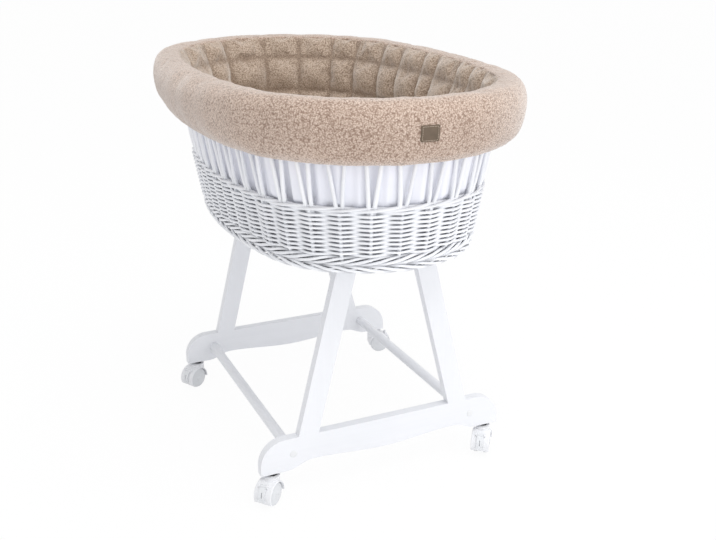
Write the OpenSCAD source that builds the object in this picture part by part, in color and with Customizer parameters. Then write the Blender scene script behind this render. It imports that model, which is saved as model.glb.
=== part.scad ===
// Wicker moses basket with a padded liner, lifted on and off a white wooden
// stand that rolls on four braked twin-wheel casters.
// Millimetres, +Z up, floor at zero. X runs along the foot rails and Y along
// the basket. The origin is on the floor under the middle of the basket.

/* [Stand] */
// Length of each foot rail
rail_len = 500; // [470:1:560]
// Height of each foot rail at its ends
rail_h = 65; // [58:1:80]
// Thickness of the boards that rails, legs and bearers are cut from
board_t = 18; // [16:1:24]
// Distance between the middle planes of the two trestles
trestle_gap = 527; // [480:1:560]
// Radius of the rails' top corners
rail_corner_r = 48; // [20:1:55]
// Flat length at each end of a rail's underside
rail_foot_len = 52; // [44:1:60]
// How far the underside arches up beside each leg
rail_arch = 14; // [4:1:18]
// Distance of that arch from the end of the rail
rail_arch_in = 100; // [85:1:120]
// Height of the underside in the middle of the rail
rail_belly = 5; // [0:1:12]
// Width of a leg
leg_w = 38; // [34:1:48]
// Distance of a leg's foot from the end of the rail
leg_inset = 94; // [85:1:110]
// Distance of a leg's top from the middle of the bearer
leg_top_x = 78; // [65:1:100]
// Height of a leg between rail and bearer
leg_rise = 308; // [240:1:340]
// Play between a bearer's ends and the foot border round them
bearer_play = 8; // [4:1:30]
// Height of a bearer
bearer_h = 30; // [26:1:50]
// Radius of a bearer's lower corners
bearer_corner_r = 14; // [4:1:20]
// Diameter of the round stretchers
stretcher_d = 20; // [16:1:26]
// Distance of each stretcher outside its legs' feet
stretcher_out = 31; // [26:1:38]
// Depth of a stretcher's end in its rail
stretcher_seat = 6; // [4:0.5:8]
// Clearance round dowels, stretchers, screws and sockets
wood_fit = 0.1; // [0.05:0.05:0.2]
// Diameter of a dowel in the leg joints
dowel_d = 8; // [6:1:9]
// Depth of a dowel in each of its two pieces
dowel_depth = 18; // [12:1:22]
// Distance between the two dowels of a joint
dowel_pitch = 16; // [12:1:18]
// Diameter of a stretcher screw
screw_d = 5; // [4:0.5:6]
// Length of a stretcher screw under its head
screw_len = 36; // [26:1:50]
// Diameter of a screw's head
screw_head_d = 9; // [8:0.5:11]
// Thickness of a screw's head
screw_head_t = 2.6; // [2:0.2:3]
// Diameter of a cover cap
cap_d = 14; // [12:0.5:16]
// Depth of a cover cap in its rail
cap_depth = 2; // [1.6:0.2:2.6]
// How far a cover cap stands out
cap_proud = 1.2; // [0.6:0.2:2]

/* [Casters] */
// Distance of a caster's stem from the end of its rail
caster_inset = 25; // [20:1:30]
// Diameter of a wheel
wheel_d = 45; // [40:1:50]
// Width of a wheel
wheel_w = 12; // [11:1:16]
// Rounding of a wheel's outer edge
wheel_round = 3.5; // [2:0.5:4.5]
// Rise of a wheel's outer face towards its middle
wheel_dome = 1; // [0.4:0.2:2]
// Thickness of the hood's web between the wheels
web_w = 11; // [10:0.5:14]
// Gap between a wheel and the web
wheel_gap = 0.6; // [0.4:0.1:1]
// Thickness of the guard round the wheels
guard_t = 2.4; // [2:0.2:3.4]
// Gap between a wheel and its guard
guard_gap = 1; // [0.8:0.1:1.6]
// Height of the guard's lower edge over the floor, under the axle
guard_clear = 16; // [12:1:17]
// Slope of the guard's lower edge, down towards the pedal
guard_slope = 11; // [0:1:15]
// Rounding of the guard's edges
guard_round = 2; // [1:0.2:2.4]
// Distance of the axle behind the stem
trail = 15; // [11:1:18]
// Width of the swivel boss
boss_d = 26; // [22:1:28]
// How much longer than wide the swivel boss is
boss_long = 7; // [0:1:10]
// Height of the boss over the guard
boss_rise = 3.8; // [3:0.2:8]
// Diameter of an axle
axle_d = 5; // [4:0.5:6]
// Clearance of an axle in the web, on the radius
axle_fit = 0.02; // [0.01:0.01:0.05]
// Depth of an axle's end in its wheel
axle_depth = 9; // [7:0.5:10]
// Running clearance of wheels, swivels and pedals, on the radius
run_fit = 0.05; // [0.03:0.01:0.09]
// Diameter of a stem in its hood
stem_d = 7; // [6:0.5:8]
// Depth of a stem in its hood
stem_depth = 20; // [16:1:22]
// Diameter of a stem in its socket
shank_d = 8; // [7:0.5:8.5]
// Depth of a socket in its rail
socket_depth = 33; // [26:1:38]
// Wall of a socket
socket_wall = 1.4; // [1:0.1:2]
// Diameter of a socket's flange
flange_d = 17; // [15:1:18]
// Thickness of a socket's flange
flange_t = 1.2; // [0.8:0.1:2]
// Diameter of the collar on a stem
collar_d = 15; // [12:1:17]
// Thickness of the collar on a stem
collar_t = 3; // [2.4:0.1:5]
// Gap under the collar
swivel_gap = 0.4; // [0.3:0.1:0.8]
// Width of a brake pedal
pedal_w = 13; // [11:1:16]
// Thickness of a brake pedal
pedal_t = 2.4; // [2:0.2:3.2]
// Gap between a pedal and the ears beside it
pedal_play = 0.4; // [0.3:0.1:0.8]
// Gap between a pedal and the guard
pedal_gap = 0.6; // [0.4:0.1:1.2]
// Angle of a pedal's toe round the axle
pedal_toe = -8; // [-14:1:4]
// Angle of a pedal's pivot round the axle
pedal_pivot = 52; // [46:1:58]
// Diameter of a pedal's pivot stubs
pivot_d = 2.6; // [2.2:0.1:3]
// Thickness of the ears that carry a pedal
ear_t = 3; // [2.2:0.2:4.4]
// Width of the slit in a pedal
slit_w = 2; // [1.4:0.2:2.6]
// Turn of the front left caster
front_left_turn = -140; // [-180:1:180]
// Turn of the front right caster
front_right_turn = -130; // [-180:1:180]
// Turn of the rear left caster
rear_left_turn = -150; // [-180:1:180]
// Turn of the rear right caster
rear_right_turn = -15; // [-180:1:180]

/* [Basket] */
// Half length of the basket at its foot
oval_b = 370; // [350:1:400]
// Radius of the basket's round ends at its foot
end_r = 204; // [185:1:215]
// How far the long sides bow out past the round ends
side_bow = 18; // [10:1:30]
// Outward lean of the wall
flare = 10; // [6:0.5:14]
// Gap between bearers and base board
seat_gap = 0.3; // [0.2:0.1:0.6]
// Height of the foot border under the base board
foot_h = 11.5; // [9:0.5:16]
// Thickness of the base board
base_t = 6; // [4:0.5:10]
// Thickness of the woven wall
wall_t = 14; // [12:0.5:18]
// Gap between one course of the wall and the next
course_gap = 0.2; // [0.1:0.1:0.5]
// Height of the lower wale
lower_wale_h = 14; // [10:0.5:18]
// Rows of weaving between the wales
row_count = 14; // [6:2:16]
// Height of a row of weaving
row_h = 5.6; // [4.6:0.1:7]
// How far a rod bows out over a stake
row_bow = 2; // [1:0.2:2.6]
// Depth of the groove between rows
row_groove = 1.6; // [0.6:0.2:2]
// Height of the upper wale
upper_wale_h = 9.5; // [8:0.5:14]
// Stakes round the basket
stake_count = 40; // [32:4:44]
// Diameter of stakes and upper rods
stake_d = 8; // [6:0.5:9]
// Clearance of the stakes in the base board
stake_fit = 0.2; // [0.1:0.1:0.4]
// Depth of the upper rods in the band
rod_depth = 26; // [16:1:40]
// Gap between the two rods of a pair at the band
rod_gap = 0.6; // [0.3:0.1:2]
// Height of the rim's middle over the band
rim_rise = 172; // [140:1:200]
// Thickness of the rim
rim_d = 16; // [12:1:20]
// Rise of the rim from the middle to the head end
head_rise = 11; // [0:1:20]

/* [Liner] */
// Gap between the wall and the lining
lining_gap = 2; // [1:0.5:4]
// Depth of the lining's gathers
gather_depth = 3; // [1:0.5:4]
// Gathers round the lining
gather_count = 54; // [36:2:60]
// Thickness of the lining
lining_t = 1.5; // [1:0.1:2.5]
// Gap between the lining and the quilted pad
pad_gap = 1.5; // [1:0.5:3]
// Thickness of the quilted pad at its seams
pad_seam_t = 10; // [6:1:14]
// Swell of the quilted pad between its seams
pad_swell = 12; // [6:1:16]
// Quilted squares round the pad
quilt_count = 28; // [20:2:32]
// Height of a quilted square
quilt_pitch = 70; // [60:1:90]
// Depth of the quilt's first seam under the top of the bumper
quilt_first = 49; // [40:1:60]
// Gap between soft pieces that lie on each other
soft_gap = 0.4; // [0.3:0.1:0.8]
// Swell of the bumper beyond the wall
bumper_swell = 36; // [24:1:44]
// Drop of the bumper's hem under the rim's middle
bumper_drop = 80; // [60:1:110]
// Height of the bumper's widest part under the rim's middle
bumper_belly = 16; // [8:1:30]
// Thickness of the bumper at its hem
hem_t = 22; // [14:1:26]
// Height of the bumper's crown over the rim's middle
bumper_crown = 23; // [20:1:32]
// Reach of the bumper's lip inside the rim's middle
bumper_lip = 25; // [22:1:30]
// Gap between the bumper and the rim
bumper_gap = 0.5; // [0.3:0.1:1]
// Thickness of the mattress at its edge
mattress_t = 38; // [28:1:50]
// Crown of the mattress
mattress_crown = 8; // [4:1:14]
// How far the mattress's sides are drawn in at top and bottom
mattress_draw = 6; // [3:1:9]
// Gap between the mattress and the quilted pad
mattress_gap = 1.5; // [1:0.5:4]

/* [Hidden] */
$fn = 48;

// heights, from the floor up
wheel_r = wheel_d / 2;
hood_r = wheel_r + guard_gap + guard_t;
hood_top = wheel_r + hood_r + boss_rise;
collar_z = hood_top + swivel_gap;
flange_z = collar_z + collar_t + course_gap;
rail_z = flange_z + flange_t;
rail_top = rail_z + rail_h;
stretcher_z = rail_z + rail_h / 2;
bearer_z = rail_top + leg_rise;
seat_z = bearer_z + bearer_h;
base_z = seat_z + seat_gap;
base_top = base_z + base_t;
wall_z = base_z - foot_h;
weave_z = base_top + lower_wale_h + course_gap;
weave_top = weave_z + row_count * row_h;
band_top = weave_top + upper_wale_h + course_gap;
rim_z = band_top + rim_rise;
hem_z = rim_z - bumper_drop;

// places in plan
trestle_y = trestle_gap / 2;
caster_x = rail_len / 2 - caster_inset;
leg_foot_x = rail_len / 2 - leg_inset;
rail_arch_x = rail_len / 2 - rail_arch_in;
leg_lean = atan((leg_foot_x - leg_top_x) / leg_rise);
stretcher_x = leg_foot_x + stretcher_out;

// centres and radii of the four arcs of the basket's oval
end_y = oval_b - end_r;
side_x = (end_y ^ 2 - side_bow ^ 2) / (2 * side_bow);
side_r = end_r + side_bow + side_x;
side_turn = atan(end_y / side_x);

// half length of a bearer, inside the foot border at the trestle's outer face
foot_in = end_r + foot_h / 2 * tan(flare) - wall_t;
bearer_half = sqrt(foot_in ^ 2 - (trestle_y + board_t / 2 - end_y) ^ 2) - bearer_play;

// offsets of the liner's layers inside the wall's outer face
lining_in = wall_t + lining_gap;
pad_in = lining_in + gather_depth + lining_t + pad_gap;
pad_top = rim_z + rim_d / 2 + bumper_gap - soft_gap - 1;

// brake pedal, in the plane of the wheel
pedal_r = hood_r + pedal_gap;
barrel_r = pedal_t * 0.95;
pivot_r = pedal_r + barrel_r;

// how far the wall's outer face stands out from the foot's oval at a height
function wall(z) = (z - wall_z) * tan(flare);

// direction of the oval's normal at a share u of the way round from +X
function quarter_turn(f) =
    let (side = side_turn * side_r, end = (90 - side_turn) * end_r, s = f * (side + end))
    s < side ? s / side_r : side_turn + (s - side) / end_r;
function turn_at(u) =
    let (v = 4 * (u - floor(u)), q = floor(v), f = v - q)
    q == 0 ? quarter_turn(f) : q == 1 ? 180 - quarter_turn(1 - f) :
    q == 2 ? 180 + quarter_turn(f) : 360 - quarter_turn(1 - f);

// point of the oval, offset outwards by d
function oval(u, d) =
    let (t = turn_at(u), c = cos(t), s = sin(t))
    abs(s) < sin(side_turn)
        ? [-sign(c) * side_x + (side_r + d) * c, (side_r + d) * s]
        : [(end_r + d) * c, sign(s) * end_y + (end_r + d) * s];

// point of the basket at offset d and height z, with the rise to the head end
function at(u, d, z) =
    let (p = oval(u, d), share = min(1, max(0, (z - band_top) / (hem_z - band_top))))
    [p[0], p[1], z + head_rise * share * p[1] / oval_b];

function leg_x(z) = leg_foot_x - (z - rail_top) * tan(leg_lean);

// arc of points in a profile: middle, radii, first and last angle
function arc(c, rx, ry, from, to, steps) =
    [for (k = [0:steps]) let (a = from + (to - from) * k / steps)
        c + [rx * cos(a), ry * sin(a)]];

// closed ring through sections that are themselves closed
module ring_loft(grid) {
    n = len(grid);
    m = len(grid[0]);
    polyhedron(
        points = [for (section = grid) each section],
        faces = [for (i = [0:n - 1], j = [0:m - 1])
            let (i2 = (i + 1) % n, j2 = (j + 1) % m)
            each [[i * m + j, i2 * m + j2, i * m + j2],
                  [i * m + j, i2 * m + j, i2 * m + j2]]]);
}

// closed stack of level sections, capped at both ends round a middle point
module stack_loft(grid, low, high) {
    n = len(grid);
    m = len(grid[0]);
    polyhedron(
        points = concat([for (section = grid) each section], [low, high]),
        faces = concat(
            [for (i = [0:n - 2], j = [0:m - 1]) let (j2 = (j + 1) % m)
                each [[i * m + j, (i + 1) * m + j2, i * m + j2],
                      [i * m + j, (i + 1) * m + j, (i + 1) * m + j2]]],
            [for (j = [0:m - 1]) [n * m, j, (j + 1) % m]],
            [for (j = [0:m - 1]) [n * m + 1, (n - 1) * m + (j + 1) % m, (n - 1) * m + j]]));
}

// straight round rod between two points
module rod(p, q, d) {
    v = q - p;
    translate(p)
        rotate([0, acos(v[2] / norm(v)), atan2(v[1], v[0])])
            cylinder(h = norm(v), d = d);
}

// cylinder along Y from y0 to y1
module pin_y(x, z, y0, y1, d) {
    translate([x, y0, z])
        rotate([-90, 0, 0])
            cylinder(h = y1 - y0, d = d);
}

// board on edge, from an outline in X and Z
module upright_board() {
    rotate([90, 0, 0])
        linear_extrude(board_t, center = true)
            children();
}

// both trestles: children face the front, the rear ones are mirrored
module front() { translate([0, -trestle_y, 0]) children(); }
module rear() { mirror([0, 1, 0]) front() children(); }

function rail_under(x) =
    let (a = abs(x), foot = rail_len / 2 - rail_foot_len)
    a >= foot ? 0 :
    a > rail_arch_x
        ? rail_arch * (1 + cos(180 * (a - rail_arch_x) / (foot - rail_arch_x))) / 2
        : rail_belly + (rail_arch - rail_belly) * (1 - cos(180 * a / rail_arch_x)) / 2;

module rail_outline() {
    half = rail_len / 2;
    corner = half - rail_corner_r;
    top = rail_top - rail_corner_r;
    polygon(concat(
        [for (k = [-25:25]) let (x = k * half / 25) [x, rail_z + rail_under(x)]],
        arc([corner, top], rail_corner_r, rail_corner_r, 0, 90, 12),
        arc([-corner, top], rail_corner_r, rail_corner_r, 90, 180, 12)));
}

// the two dowels where a leg meets a board at height z
module dowel_pair(side, z, leg_end, extra) {
    for (k = [-0.5, 0.5])
        translate([side * leg_x(z + leg_end * dowel_depth / 2) + k * dowel_pitch, 0, z])
            cylinder(h = 2 * dowel_depth + extra, d = dowel_d + extra, center = true);
}

module all_dowel_holes(side) {
    dowel_pair(side, rail_top, 1, 2 * wood_fit);
    dowel_pair(side, bearer_z, -1, 2 * wood_fit);
}

// foot rail of the front trestle, its outer face towards -Y
module foot_rail() {
    color("white")
        difference() {
            upright_board() rail_outline();
            for (side = [-1, 1]) {
                all_dowel_holes(side);
                pin_y(side * stretcher_x, stretcher_z, board_t / 2 - stretcher_seat,
                    board_t, stretcher_d + 2 * wood_fit);
                pin_y(side * stretcher_x, stretcher_z, -board_t, board_t, screw_d + 2 * wood_fit);
                pin_y(side * stretcher_x, stretcher_z, -board_t,
                    -board_t / 2 + cap_depth + screw_head_t + wood_fit, cap_d + 2 * wood_fit);
                translate([side * caster_x, 0, rail_z - 1])
                    cylinder(h = socket_depth + 1 + wood_fit,
                        d = shank_d + 2 * socket_wall + 4 * wood_fit);
            }
        }
}

module leg(side) {
    half = leg_w / 2 / cos(leg_lean);
    color("white")
        difference() {
            upright_board()
                polygon([
                    [side * leg_foot_x - half, rail_top],
                    [side * leg_foot_x + half, rail_top],
                    [side * leg_top_x + half, bearer_z],
                    [side * leg_top_x - half, bearer_z]]);
            all_dowel_holes(side);
        }
}

module bearer() {
    corner = bearer_half - bearer_corner_r;
    color("white")
        difference() {
            upright_board()
                polygon(concat(
                    arc([-corner, bearer_z + bearer_corner_r],
                        bearer_corner_r, bearer_corner_r, 180, 270, 10),
                    arc([corner, bearer_z + bearer_corner_r],
                        bearer_corner_r, bearer_corner_r, 270, 360, 10),
                    [[bearer_half, seat_z], [-bearer_half, seat_z]]));
            for (side = [-1, 1]) all_dowel_holes(side);
        }
}

module front_rail() { front() foot_rail(); }
module rear_rail() { rear() foot_rail(); }
module front_left_leg() { front() leg(-1); }
module front_right_leg() { front() leg(1); }
module rear_left_leg() { rear() leg(-1); }
module rear_right_leg() { rear() leg(1); }
module front_bearer() { front() bearer(); }
module rear_bearer() { rear() bearer(); }

// round stretcher from rail to rail, with a pilot hole in each end
module stretcher(side) {
    end = trestle_y - board_t / 2 + stretcher_seat;
    color("white")
        difference() {
            pin_y(side * stretcher_x, stretcher_z, -end, end, stretcher_d);
            for (s = [-1, 1])
                pin_y(side * stretcher_x, stretcher_z, s * end - screw_len,
                    s * end + screw_len, screw_d + 2 * wood_fit);
        }
}
module left_stretcher() { stretcher(-1); }
module right_stretcher() { stretcher(1); }

module stretcher_screws() {
    head = -board_t / 2 + cap_depth;
    color("silver")
        for (side = [-1, 1]) {
            front() screw(side * stretcher_x, head);
            rear() screw(side * stretcher_x, head);
        }
}
module screw(x, head) {
    pin_y(x, stretcher_z, head, head + screw_head_t, screw_head_d);
    pin_y(x, stretcher_z, head, head + screw_head_t + screw_len, screw_d);
}

module screw_caps() {
    color("whitesmoke")
        for (side = [-1, 1]) {
            front() cap(side * stretcher_x);
            rear() cap(side * stretcher_x);
        }
}
// plug with a shallow domed face
module cap(x) {
    translate([x, -board_t / 2 + cap_depth - wood_fit, stretcher_z])
        rotate([90, 0, 0])
            rotate_extrude()
                polygon(concat(
                    [[0, 0], [cap_d / 2, 0]],
                    arc([0, cap_depth], cap_d / 2, cap_proud, 0, 90, 8)));
}

module leg_dowels() {
    color("burlywood")
        for (side = [-1, 1]) {
            front() dowels(side);
            rear() dowels(side);
        }
}
module dowels(side) {
    dowel_pair(side, rail_top, 1, 0);
    dowel_pair(side, bearer_z, -1, 0);
}

// children are placed at each caster's stem
module each_stem() {
    for (side = [-1, 1], end = [-1, 1])
        translate([side * caster_x, end * trestle_y, 0])
            children();
}

// flanged sleeve pushed into the rail from below
module caster_sockets() {
    out_d = shank_d + 2 * socket_wall + 2 * wood_fit;
    color("dimgray")
        each_stem()
            difference() {
                union() {
                    translate([0, 0, flange_z]) cylinder(h = flange_t, d = flange_d);
                    translate([0, 0, flange_z]) cylinder(h = flange_t + socket_depth, d = out_d);
                }
                translate([0, 0, flange_z - 1])
                    cylinder(h = flange_t + socket_depth + 2, d = shank_d + 2 * wood_fit);
            }
}

// turned steel stem: the hood swivels on its lower end under the collar
module caster_stems() {
    color("slategray")
        each_stem() {
            translate([0, 0, hood_top - stem_depth])
                cylinder(h = stem_depth + swivel_gap, d = stem_d);
            translate([0, 0, collar_z]) cylinder(h = collar_t, d = collar_d);
            translate([0, 0, collar_z + collar_t])
                cylinder(h = course_gap + flange_t + socket_depth - 1, d = shank_d);
        }
}

// a caster's own frame: stem on Z, axle along Y at a trail behind it
module caster(side, end, turn) {
    translate([side * caster_x, end * trestle_y, 0])
        rotate(turn)
            children();
}
module on_axle() {
    translate([trail, 0, wheel_r])
        rotate([90, 0, 0])
            children();
}

// outline of the hood's drum, radius by width
module drum_outline(half) {
    polygon(concat(
        [[0, -half]],
        arc([hood_r - guard_round, -half + guard_round], guard_round, guard_round, -90, 0, 6),
        arc([hood_r - guard_round, half - guard_round], guard_round, guard_round, 0, 90, 6),
        [[0, half]]));
}

module hood() {
    half = web_w / 2 + wheel_gap + wheel_w;
    pocket_r = wheel_r + guard_gap;
    ear_y = pedal_w / 2 + pedal_play;
    color("white")
        difference() {
            union() {
                on_axle() rotate_extrude() drum_outline(half);
                translate([0, 0, wheel_r + hood_r / 2])
                    linear_extrude(hood_top - wheel_r - hood_r / 2) {
                        for (x = [0, boss_long]) translate([x, 0]) circle(d = boss_d);
                        translate([0, -boss_d / 2]) square([boss_long, boss_d]);
                    }
                for (s = [-1, 1])
                    on_axle() translate([0, 0, s * (ear_y + ear_t / 2)])
                        linear_extrude(ear_t, center = true) ear_outline();
            }
            for (s = [-1, 1])
                on_axle() translate([0, 0, s * (web_w / 2 + half)])
                    cylinder(h = 2 * half, r = pocket_r, center = true);
            on_axle() rotate(-guard_slope)
                translate([-2 * hood_r, guard_clear - wheel_r - 2 * hood_r, -2 * half])
                    cube([4 * hood_r, 2 * hood_r, 4 * half]);
            translate([0, 0, hood_top - stem_depth - 0.5])
                cylinder(h = stem_depth + 1, d = stem_d + 2 * run_fit);
            on_axle() cylinder(h = 2 * half, d = axle_d + 2 * axle_fit, center = true);
            on_axle() rotate(pedal_pivot) translate([pivot_r, 0, 0])
                cylinder(h = 4 * half, d = pivot_d + 2 * run_fit, center = true);
        }
}
// ear on the guard, with a round end about the pedal's pivot
module ear_outline() {
    ear_r = barrel_r + 1;
    rotate(pedal_pivot) {
        translate([pivot_r, 0]) circle(r = ear_r);
        translate([hood_r - guard_t / 2, -ear_r])
            square([pivot_r - hood_r + guard_t / 2, 2 * ear_r]);
    }
}

module axle() {
    color("silver")
        on_axle() cylinder(h = web_w + 2 * (wheel_gap + axle_depth), d = axle_d, center = true);
}

// domed wheel on one end of the axle; its bore stays closed outside
module wheel(s) {
    bore = axle_d / 2 + run_fit;
    edge = wheel_w - wheel_dome;
    color("whitesmoke")
        on_axle() rotate([s > 0 ? 180 : 0, 0, 0]) translate([0, 0, web_w / 2 + wheel_gap])
            rotate_extrude($fn = 72)
                polygon(concat(
                    [[0, axle_depth + 0.5], [bore, axle_depth + 0.5], [bore, 0], [wheel_r - 1.5, 0],
                     [wheel_r, 1.5]],
                    arc([wheel_r - wheel_round, edge - wheel_round], wheel_round, wheel_round,
                        0, 90, 8),
                    [[wheel_r * 0.5, wheel_w - wheel_dome * 0.25], [0, wheel_w]]));
}

// curved brake pedal that lies on the guard and turns on two stubs
module pedal() {
    out_r = pedal_r + pedal_t;
    lip = 2.4;
    color("whitesmoke")
        difference() {
            union() {
                on_axle() rotate([0, 0, pedal_toe])
                    rotate_extrude(angle = pedal_pivot - pedal_toe)
                        translate([pedal_r, -pedal_w / 2]) square([pedal_t, pedal_w]);
                on_axle() rotate([0, 0, pedal_toe])
                    rotate_extrude(angle = 6)
                        translate([out_r - 1, -pedal_w / 2]) square([lip, pedal_w]);
                on_axle() rotate(pedal_pivot) translate([pivot_r, 0, 0]) {
                    cylinder(h = pedal_w, r = barrel_r, center = true);
                    cylinder(h = pedal_w + 2 * ear_t, d = pivot_d, center = true);
                }
            }
            on_axle() rotate([0, 0, pedal_toe + 14])
                rotate_extrude(angle = 22)
                    translate([pedal_r - 1, -slit_w / 2]) square([pedal_t + 2, slit_w]);
        }
}

module front_left() { caster(-1, -1, front_left_turn) children(); }
module front_right() { caster(1, -1, front_right_turn) children(); }
module rear_left() { caster(-1, 1, rear_left_turn) children(); }
module rear_right() { caster(1, 1, rear_right_turn) children(); }

module front_left_hood() { front_left() hood(); }
module front_left_axle() { front_left() axle(); }
module front_left_inner_wheel() { front_left() wheel(-1); }
module front_left_outer_wheel() { front_left() wheel(1); }
module front_left_pedal() { front_left() pedal(); }
module front_right_hood() { front_right() hood(); }
module front_right_axle() { front_right() axle(); }
module front_right_inner_wheel() { front_right() wheel(-1); }
module front_right_outer_wheel() { front_right() wheel(1); }
module front_right_pedal() { front_right() pedal(); }
module rear_left_hood() { rear_left() hood(); }
module rear_left_axle() { rear_left() axle(); }
module rear_left_inner_wheel() { rear_left() wheel(-1); }
module rear_left_outer_wheel() { rear_left() wheel(1); }
module rear_left_pedal() { rear_left() pedal(); }
module rear_right_hood() { rear_right() hood(); }
module rear_right_axle() { rear_right() axle(); }
module rear_right_inner_wheel() { rear_right() wheel(-1); }
module rear_right_outer_wheel() { rear_right() wheel(1); }
module rear_right_pedal() { rear_right() pedal(); }

// oval board, drilled straight down near its edge for the leaning stakes
module base_board() {
    hole_d = stake_d / cos(flare) + base_t * tan(flare) + 2 * stake_fit;
    color("white")
        difference() {
            translate([0, 0, base_z])
                linear_extrude(base_t)
                    polygon([for (k = [0:143]) oval(k / 144, wall(base_z))]);
            for (k = [0:stake_count - 1])
                translate(stake_point(k, base_z + base_t / 2))
                    cylinder(h = 2 * base_t, d = hole_d, center = true);
        }
}
function stake_u(k) = (k + 0.5) / stake_count;
function stake_point(k, z) =
    let (p = oval(stake_u(k), wall(z) - wall_t / 2)) [p[0], p[1], z];

// three rods twisted round each other and round the stakes
module twist_ring(z, h) {
    columns = 2 * stake_count;
    twist = 360 * round(stake_count / 6) / columns;
    middle = wall(z + h / 2) - wall_t / 2;
    ring_loft([for (i = [0:columns - 1])
        [for (k = [0:8]) let (a = 40 * k + twist * i, f = k % 3 == 0 ? 0.74 : 1)
            let (p = oval(i / columns, middle + f * wall_t / 2 * cos(a)))
            [p[0], p[1], z + h / 2 + f * h / 2 * sin(a)]]]);
}
module foot_border() { color("white") twist_ring(wall_z, foot_h - course_gap); }
module lower_wale() { color("white") twist_ring(base_top + course_gap, lower_wale_h - course_gap); }
module upper_wale() { color("white") twist_ring(weave_top + course_gap, upper_wale_h); }

// woven band: each row passes in front of one stake and behind the next
module side_weave() {
    columns = 2 * stake_count;
    color("white")
        ring_loft([for (i = [0:columns - 1]) concat(
            [for (k = [0:2 * row_count])
                let (z = weave_z + k * row_h / 2, row = floor(k / 2),
                     over = i % 2 == 1 ? 0 : (row + i / 2) % 2 == 0 ? 1 : -1,
                     bow = k % 2 == 1 ? over * row_bow : -row_groove,
                     p = oval((i + 1) / columns, wall(z) - row_bow + bow))
                [p[0], p[1], z]],
            [for (z = [weave_top, weave_z]) let (p = oval((i + 1) / columns, wall(z) - wall_t))
                [p[0], p[1], z]])]);
}

// uprights from the foot border through the base board into the band
module stakes() {
    top = band_top - rod_depth - stake_d / 4;
    color("white")
        for (k = [0:stake_count - 1])
            rod(stake_point(k, wall_z + foot_h / 2), stake_point(k, top), stake_d);
}

// pairs of rods that open from the band to the rim
module upper_rods() {
    low = band_top - rod_depth;
    spread = (stake_d + rod_gap) / 2;
    color("white")
        for (k = [0:stake_count - 1], s = [-1, 1]) {
            u = stake_u(k);
            t = turn_at(u);
            p = at(u, wall(low) - wall_t / 2, low) + s * spread * [-sin(t), cos(t), 0];
            q = at(u + s / (4 * stake_count), wall(rim_z) - wall_t / 2, rim_z);
            rod(p, q, stake_d);
        }
}

// bundled rods that close the top of the basket
module rim() {
    columns = 2 * stake_count;
    middle = wall(rim_z) - wall_t / 2;
    color("white")
        ring_loft([for (i = [0:columns - 1])
            [for (p = arc([middle, rim_z], rim_d / 2, rim_d / 2, 0, 315, 7))
                at(i / columns, p[0], p[1])]]);
}

// lightly gathered cloth behind the rods, down to the base board
module lining() {
    columns = 2 * gather_count;
    low = base_top + soft_gap;
    high = rim_z;
    color("white")
        ring_loft([for (i = [0:columns - 1])
            let (u = i / columns, fold = gather_depth * (i % 2))
            concat(
                [for (z = [low, weave_z, band_top, hem_z, high])
                    at(u, wall(z) - lining_in - (z > low && z < high ? fold : fold / 2), z)],
                [for (z = [high, hem_z, band_top, weave_z, low])
                    at(u, wall(z) - lining_in - lining_t
                        - (z > low && z < high ? fold : fold / 2), z)])]);
}

// padded wall inside the basket, sewn in squares
module quilted_pad() {
    columns = 3 * quilt_count;
    low = base_top + soft_gap;
    first = rim_z + bumper_crown - quilt_first;
    last = ceil((first - low) / quilt_pitch) - 1;
    seams = concat([pad_top], [for (k = [0:last]) first - k * quilt_pitch], [low]);
    levels = concat(
        [for (k = [0:len(seams) - 2]) let (h = seams[k] - seams[k + 1])
            each [[seams[k], 0],
                [seams[k] - h / 2, pad_swell * min(1, 1.5 * h / quilt_pitch)]]],
        [[low, 0]]);
    color("tan")
        ring_loft([for (i = [0:columns - 1])
            let (u = i / columns)
            concat(
                [for (z = [low, pad_top]) at(u, wall(z) - pad_in, z)],
                [for (l = levels)
                    at(u, wall(l[0]) - pad_in - pad_seam_t - (i % 3 != 0 ? l[1] : 0), l[0])])]);
}

// thick roll over the rim: hem outside, crown on top, lip on the quilted pad
module bumper() {
    columns = 72;
    mid = wall(rim_z) - wall_t / 2;
    belly_z = rim_z - bumper_belly;
    crown_d = mid + rim_d / 2;
    out = wall(belly_z) + bumper_swell;
    hem_d = wall(hem_z) + bumper_gap + hem_t;
    lip_z = pad_top + soft_gap;
    profile = concat(
        arc([hem_d, belly_z], out - hem_d, belly_z - hem_z, -90, 0, 4),
        arc([crown_d, belly_z], out - crown_d, rim_z + bumper_crown - belly_z, 18, 90, 4),
        arc([crown_d, lip_z], crown_d - mid + bumper_lip, rim_z + bumper_crown - lip_z, 120, 180, 2),
        [[mid, rim_z + rim_d / 2 + bumper_gap],
         [mid + rim_d / 2 + bumper_gap, rim_z + rim_d / 2 + bumper_gap],
         [mid + rim_d / 2 + bumper_gap, rim_z - rim_d / 2],
         [wall(hem_z) + bumper_gap, hem_z]]);
    color("tan")
        ring_loft([for (i = [0:columns - 1])
            [for (p = profile) at(i / columns, p[0], p[1])]]);
}

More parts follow.
